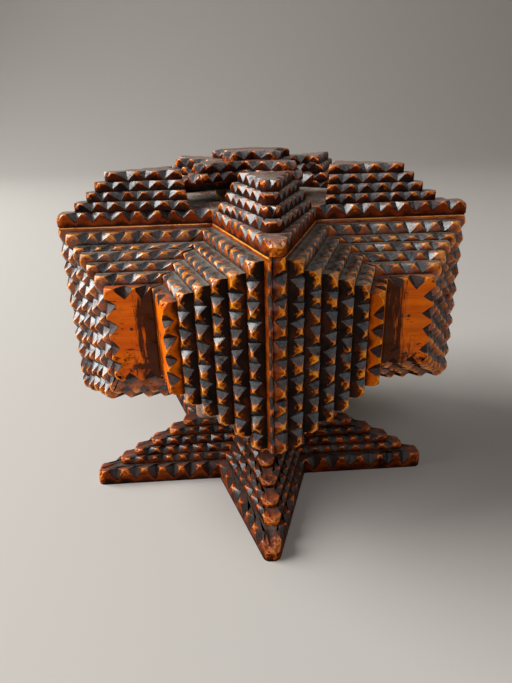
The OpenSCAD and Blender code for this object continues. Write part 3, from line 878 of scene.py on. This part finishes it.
# Wood that was never varnished: the neck, and what is inside.
UNSTAINED = {"side": 0.0, "blotches": 0.3, "notches": 0.0, "seams": 0.0, "polish": 0.0}
NECK = finish_wood("bare_neck", ((0.42, 0.22, 0.15), (0.55, 0.36, 0.28)),
                   patina=((0.1, 0.05, 0.03), (0.2, 0.1, 0.06)),
                   worn=((0.5, 0.33, 0.25), (0.62, 0.45, 0.36)),
                   wear=0.3, dust=0.2, rough=(0.6, 0.8), **UNSTAINED)
INNER = finish_wood("plain_inside", ((0.22, 0.12, 0.06), (0.34, 0.2, 0.11)),
                    patina=((0.06, 0.03, 0.015), (0.1, 0.05, 0.03)),
                    worn=((0.36, 0.2, 0.1), (0.5, 0.32, 0.18)),
                    wear=0.25, dust=0.3, rough=(0.55, 0.8), **UNSTAINED)
STEEL = finish_metal()

# Pieces ------------------------

HERE = np.eye(4)


def foot():
    """Six star boards that step in, the lowest one thicker, shifted, and with longer and deeper notches."""
    for i, node in enumerate(["foot_base"] + [f"foot_board_{i}" for i in range(2, 7)]):
        r, flat, z, t = FOOT_R[i], FOOT_FLAT, FOOT_BASE_T + FOOT_T * (i - 1), FOOT_T
        on_side, pitch, shift = FOOT_T - RIM, PITCH, (0, 0)
        if i == 0:
            flat, z, t = FOOT_BASE_FLAT, 0, FOOT_BASE_T
            on_side, pitch, shift = BASE_DEEP, BASE_PITCH, BASE_SHIFT
        nxt = (FOOT_R[i + 1], FOOT_FLAT) if i + 1 < len(FOOT_R) else (NECK_R, NECK_FLAT)
        on_face = face_depth((sharp(r, flat) - sharp(*nxt)) * math.sin(HALF_TIP))
        board = star_board(r, flat, z, t, on_face, on_side, seeded(node), nxt=nxt, tips=False, pitch=pitch)
        at = moved(FOOT_SHIFT + shift[0], shift[1]) @ turned(math.radians(FOOT_TURN))
        make_piece(f"notched_{node}", [board], at, node, "box", [FOOT])


def neck():
    """Three plain star blocks between the foot and the box."""
    for i, node in enumerate(["neck_lower", "neck_middle", "neck_upper"]):
        board = star_board(NECK_R, NECK_FLAT, FOOT_TOP + NECK_T * i, NECK_T, 0, 0, seeded(node))
        make_piece(f"bare_{node}", [board], moved(FOOT_SHIFT / 2, 0), node, "box", [NECK])


def flare():
    """Three star boards that step out under the box, notched below."""
    for i, node in enumerate(["flare_lower", "flare_middle", "flare_upper"]):
        nxt = (FLARE_R[i - 1] if i else NECK_R, FOOT_FLAT)
        on_face = face_depth((FLARE_R[i] - nxt[0]) * math.sin(HALF_TIP))
        board = star_board(FLARE_R[i], FOOT_FLAT, FLARE_Z + FOOT_T * i, FOOT_T, on_face, FOOT_T - RIM,
                           seeded(node), down=True, nxt=nxt)
        make_piece(f"notched_{node}", [board], HERE, node, "box", [FOOT])


def inside_board(name, node, body, gap, z, t):
    """A plain star board that fits between the walls, at a height, with a gap all round."""
    board = star_board(*inner_star(gap), z, t, 0, 0, seeded(name))
    make_piece(f"plain_{name}", [board], HERE, node, body, [INNER])


def walls():
    """The ten walls, each with its stack of boards and its bare panel. Returns the brads' heads."""
    brads = []
    for arm, arm_name in enumerate(ARMS):
        for side, letter in enumerate("ab"):
            tag = f"{arm_name}_{letter}"
            at = wall_frame(arm, side)
            rise = LOW_STEPS if tag == "left_b" else BOTTOM_STEPS
            lap = FRONT_LAP if arm == 0 else 0.5
            node = "wall_" + tag
            board = wall(seeded(node), TIP_FLAT * (1 - lap if side else lap))
            make_piece("mitred_" + node, [board], at, node, "box", [WALL, INNER])
            node = "stack_" + tag
            rng = seeded(node)
            boards = [wall_board(i, rise, rng) for i in range(1, PANEL_NUMBER)]
            make_piece("carved_" + node, boards, at, node, "box", [CARVED])
            node = "panel_" + tag
            board = wall_board(PANEL_NUMBER, rise, seeded(node))
            make_piece("bare_" + node, [board], at, node, "box", [PANEL])
            brads += brad_heads(at, rise)
    return brads


def brad_piece(heads):
    """All the brads' heads as one mesh, for each with quads between its rings."""
    k = np.arange(BRAD_SIDES)
    first = np.arange(len(heads))[:, None, None] * len(BRAD_R) * BRAD_SIDES
    ring = first + (np.arange(len(BRAD_R) - 1) * BRAD_SIDES)[None, :, None]
    here, beside = ring + k, ring + (k + 1) % BRAD_SIDES
    quads = np.stack([here, beside, beside + BRAD_SIDES, here + BRAD_SIDES], -1).reshape(-1, 4)
    mesh = bpy.data.meshes.new("brad_heads")
    mesh.from_pydata((np.concatenate(heads) * MM).tolist(), [], quads.tolist())
    mesh.materials.append(STEEL)
    mesh.shade_smooth()
    attach(mesh, "brad_heads", "brads", "box")


def lid_star():
    """The lid's lowest board, a notched star."""
    rng = seeded("lid_board")
    board = star_board(TIP_R, TIP_FLAT, LID_Z, LID_T, NOTCH_FACE, NOTCH_EDGE, rng, tips=False)
    make_piece("notched_lid_star", [board], HERE, "lid_board", "lid", [LID_TOP_WOOD])


def lid_stacks():
    """On each arm of the lid, four tapered boards that step in."""
    plain = [np.array([[-half, 0], [-ARM_TIP / 2, -length], [ARM_TIP / 2, -length], [half, 0]])
             for length, half in zip(ARM_LENGTHS, ARM_HALF_W)]
    for arm, arm_name in enumerate(ARMS):
        node = "lid_stack_" + arm_name
        rng = seeded(node)
        boards = []
        for i, shape in enumerate(plain):
            outline = jitter(shape, rng, ARM_SPREAD)
            cuts = star_cuts(outline, ARM_NOTCH, LID_BOARD_T - RIM)
            low = LID_TOP + LID_BOARD_T * i
            top = low + LID_BOARD_T - GLUE / 2
            inner = lift(plain[i + 1] + ARM_UNDER, top) if i + 1 < len(plain) else None
            points, *rest = carve(slab(outline, top, low), UPWARD, cuts, rng, inner)
            boards.append((rounded(points, outline, ARM_ROUND, rng, (1, 2)), *rest))
        at = turned(ARM_TURN * arm) @ moved(0, -ARM_START - ARM_SLIP[arm])
        make_piece("carved_" + node, boards, at, node, "lid", [LID])


def grip():
    """The grip: a five-sided block, a bar with one notched end, and three star boards."""
    at = moved(RISER_SHIFT, 0)
    angles = ARM_TURN * np.arange(5) + math.pi / 2
    outline = SPACER_R * np.stack([np.cos(angles), np.sin(angles)], 1)
    board = carve(slab(outline, RISER_Z, LID_TOP), UPWARD, [PLAIN_RUB] * 5, seeded("spacer"))
    make_piece("grip_block", [board], at, "grip_spacer", "lid", [INNER])

    outline = np.array([[-1, -1], [1, -1], [1, 1], [-1, 1]]) * [RISER_L, RISER_W] / 2
    cuts = [cut(NOTCH_FACE, NOTCH_EDGE, RISER_L - FIRST - RISER_NOTCHED, FIRST)] + [BAR_RUB] * 3
    board = carve(slab(outline, GRIP_Z, RISER_Z), UPWARD, cuts, seeded("riser"))
    make_piece("grip_bar", [board], at, "grip_riser", "lid", [LID])

    for i, node in enumerate(["grip_lower_star", "grip_middle_star", "grip_top_star"]):
        at = moved(STAR_SHIFT[i], 0) @ turned(HALF_TURN)
        z = GRIP_Z + GRIP_T * i
        board = star_board(GRIP_R[i], GRIP_FLAT, z, GRIP_T, GRIP_NOTCH, GRIP_T - RIM, seeded(node))
        make_piece(f"notched_{node}", [board], at, node, "lid", [LID])


foot()
neck()
flare()
inside_board("floor", "floor_board", "box", SEAT, BOX_Z, FLOOR_T)
brad_piece(walls())
lid_star()
inside_board("locator", "lid_locator", "lid", LOCATOR_GAP, LID_Z - LOCATOR_T, LOCATOR_T)
lid_stacks()
grip()

# Floor, light and camera, in metres, watts and degrees ------------------------

# The floor's front edge, where it starts to curve up, the curve's radius, the top and half the width.
SWEEP_FRONT, SWEEP_BACK, SWEEP_R, SWEEP_TOP, SWEEP_HALF_W = -6.0, 1.6, 1.5, 6.0, 8.0
PAPER = (0.52, 0.506, 0.483)

# Lamps: name, place, size, power and colour. Both look at the target.
TARGET = (0, 0, 0.1)
LAMPS = [("window", (-1.85, 0.20, 1.28), 1.7, 92.0, (1.0, 0.98, 0.95)),
         ("front", (-0.25, -1.85, 1.45), 1.0, 12.0, (0.96, 0.98, 1.0))]

# The room's weak warm light, and the grey that is seen in its place.
ROOM_COLOUR, ROOM_STRENGTH, SEEN_COLOUR = (1.0, 0.76, 0.54, 1), 0.08, (0.46, 0.45, 0.43, 1)

# The camera: place, turn to the right, tilt down, roll, sensor height and focal length in millimetres.
CAMERA_AT = (-0.01477, -0.28283, 0.19003)
YAW, TILT, ROLL = (math.radians(a) for a in (2.137, 23.393, -1.551))
SENSOR, FOCAL_LENGTH = 36.0, 28.48


def sweep():
    """A floor that curves up into a backdrop: a straight run, a quarter circle, then a straight rise."""
    t = np.linspace(0, math.pi / 2, 17)
    curve = np.stack([SWEEP_BACK + SWEEP_R * np.sin(t), SWEEP_R * (1 - np.cos(t))], 1)
    path = np.concatenate([[[SWEEP_FRONT, 0.0]], curve, [[SWEEP_BACK + SWEEP_R, SWEEP_TOP]]])
    n = len(path)
    sides = [np.column_stack([np.full(n, x), path]) for x in (-SWEEP_HALF_W, SWEEP_HALF_W)]
    mesh = bpy.data.meshes.new("pale_sweep")
    faces = [(i, n + i, n + i + 1, i + 1) for i in range(n - 1)]
    mesh.from_pydata(np.concatenate(sides).tolist(), [], faces)
    mesh.shade_smooth()
    material, _, shader = new_material("pale_paper")
    shader.inputs["Base Color"].default_value = (*PAPER, 1)
    shader.inputs["Roughness"].default_value = 0.9
    mesh.materials.append(material)
    in_scene("pale_sweep", mesh)


def lamp(name, spot, size, power, colour):
    """A square area lamp at a spot, turned to the target."""
    data = bpy.data.lights.new(name, "AREA")
    data.size, data.energy, data.color = size, power, colour
    thing = in_scene(name, data)
    thing.location = spot
    thing.rotation_mode = "QUATERNION"
    thing.rotation_quaternion = (Vector(TARGET) - Vector(spot)).to_track_quat("-Z", "Y")


def soft_room():
    """A world that lights weakly and warmly, and is seen, mirrored or seen through as an even grey."""
    world = bpy.data.worlds.new("soft_room")
    bpy.context.scene.world = world
    world.use_nodes = True
    tree = world.node_tree
    room = tree.nodes["Background"]
    room.inputs["Color"].default_value = ROOM_COLOUR
    room.inputs["Strength"].default_value = ROOM_STRENGTH
    seen = add(tree, "Background", Color=SEEN_COLOUR, Strength=1.0)
    path = add(tree, "LightPath").outputs
    direct = plus(path["Is Camera Ray"], path["Is Glossy Ray"])
    direct = plus(direct, path["Is Transmission Ray"], True)
    both = add(tree, "MixShader", i0=direct, i1=room.outputs[0], i2=seen.outputs[0])
    tree.links.new(both.outputs[0], tree.nodes["World Output"].inputs["Surface"])


def aim_camera():
    """The camera: its view direction from the turn and the tilt, its right and up from the roll."""
    camera = bpy.data.cameras.new("camera")
    camera.sensor_fit = "VERTICAL"
    camera.sensor_height = camera.sensor_width = SENSOR
    camera.lens = FOCAL_LENGTH
    camera.clip_start, camera.clip_end = 0.01, 50
    view = bpy.context.scene.camera = in_scene("camera", camera)
    ahead = Vector((math.sin(YAW) * math.cos(TILT), math.cos(YAW) * math.cos(TILT), -math.sin(TILT)))
    level = Vector((math.cos(YAW), -math.sin(YAW), 0))
    upward = level.cross(ahead)
    right = math.cos(ROLL) * level + math.sin(ROLL) * upward
    upright = -math.sin(ROLL) * level + math.cos(ROLL) * upward
    axes = Matrix((right, upright, -ahead)).transposed().to_4x4()
    view.matrix_world = Matrix.Translation(CAMERA_AT) @ axes


sweep()
for values in LAMPS:
    lamp(*values)
soft_room()
aim_camera()
bpy.context.scene.view_settings.view_transform = "Standard"
